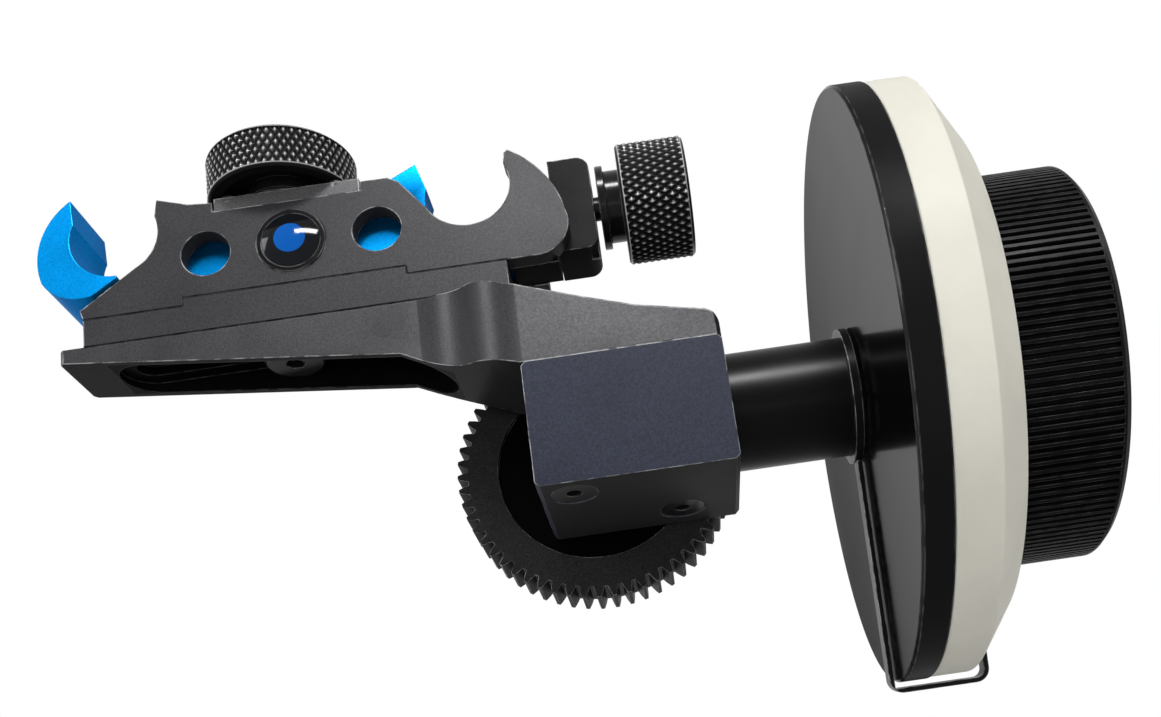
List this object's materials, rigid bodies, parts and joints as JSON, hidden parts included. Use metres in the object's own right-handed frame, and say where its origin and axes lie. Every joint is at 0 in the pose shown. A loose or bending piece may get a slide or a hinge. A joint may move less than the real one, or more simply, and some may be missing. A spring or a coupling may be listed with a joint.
{
  "type": "follow focus unit",
  "caption": "Follow focus unit with a clamp for two parallel rods, a sliding support arm, a miter gearbox with a drive gear, and a hand wheel with a marking ring.",
  "frame": {"origin": "on the right rod's axis at the middle of the clamp's depth", "axes": "+X along the hand wheel's axis towards the hand wheel, +Y along the rods towards the drive gear's side, +Z towards the open side of the rod notches"},
  "size_m": [0.1656, 0.094, 0.1072],
  "materials": {
    "black_anodised": "black anodised, fine satin",
    "blue_anodised": "bright blue anodised, satin",
    "slate_anodised": "dark slate anodised, worn edges",
    "white_plastic": "matt white, writable",
    "black_plastic": "matt black moulded",
    "blue_dome": "clear glossy dome over blue",
    "black_steel": "black oxide",
    "steel": "machined steel",
    "bronze": "bearing bronze"
  },
  "bodies": {
    "clamp": {"front_clamp_plate": "black_anodised", "rear_clamp_plate": "black_anodised", "base_bar": "black_anodised", "clamp_plate_screws": "black_steel", "thrust_block": "bronze", "cap_plate": "black_anodised", "cap_plate_screws": "black_steel", "badge_cup": "black_anodised", "badge_dome": "blue_dome", "lock_washer": "steel"},
    "jaw": {"rod_jaw": "blue_anodised", "end_block": "black_anodised", "jaw_screw": "black_steel"},
    "clamp_knob": {"clamp_knob": "black_anodised", "clamp_washer": "steel", "clamp_screw": "steel"},
    "lock_knob": {"lock_knob": "black_anodised", "lock_insert": "steel"},
    "lock_stud": {"lock_stud": "steel"},
    "arm": {"support_arm": "black_anodised", "gearbox_housing": "slate_anodised", "housing_screws": "black_steel", "shaft_tube": "black_anodised", "input_bearings": "steel", "output_bearings": "steel"},
    "wheel": {"back_disc": "black_anodised", "input_shaft": "steel", "input_miter_gear": "steel", "marking_ring": "white_plastic", "wheel_hub": "black_anodised", "hand_wheel": "black_plastic", "wheel_screws": "black_steel", "accessory_socket": "steel"},
    "gear": {"drive_gear": "black_plastic", "output_shaft": "steel", "output_miter_gear": "steel", "gear_washer": "black_steel", "gear_screw": "black_steel"},
    "pointer": {"pointer_arm": "black_steel"}
  },
  "joints": [
    {"name": "jaw_slide", "type": "slide", "parent": "clamp", "child": "jaw", "axis": [1, 0, 0], "range_m": [-0.0022, 0.0008]},
    {"name": "clamp_knob_turn", "type": "hinge", "parent": "clamp", "child": "clamp_knob", "pos_m": [0.0316, 0, -0.004], "axis": [1, 0, 0], "range_deg": [-412, 1132]},
    {"name": "lock_knob_turn", "type": "hinge", "parent": "clamp", "child": "lock_knob", "pos_m": [-0.0325, 0, 0.009], "axis": [0, 0, 1], "range_deg": [0, 360]},
    {"name": "lock_stud_slide", "type": "slide", "parent": "clamp", "child": "lock_stud", "axis": [0, 0, 1], "range_m": [-0.0007, 0]},
    {"name": "arm_slide", "type": "slide", "parent": "clamp", "child": "arm", "axis": [1, 0, 0], "range_m": [-0.0185, 0.024]},
    {"name": "wheel_turn", "type": "hinge", "parent": "arm", "child": "wheel", "pos_m": [0.0725, -0.0028, -0.0465], "axis": [1, 0, 0], "continuous": true},
    {"name": "gear_turn", "type": "hinge", "parent": "arm", "child": "gear", "pos_m": [0.0146, 0.0143, -0.0465], "axis": [0, 1, 0], "continuous": true},
    {"name": "pointer_turn", "type": "hinge", "parent": "arm", "child": "pointer", "pos_m": [0.0568, -0.0028, -0.0465], "axis": [1, 0, 0], "continuous": true}
  ],
  "couplings": [
    {"joint": "clamp_knob_turn", "follows": "jaw_slide", "rad_per_m": -8976},
    {"joint": "lock_stud_slide", "follows": "lock_knob_turn", "m_per_rad": -0.00011141},
    {"joint": "gear_turn", "follows": "wheel_turn", "ratio": -1}
  ]
}
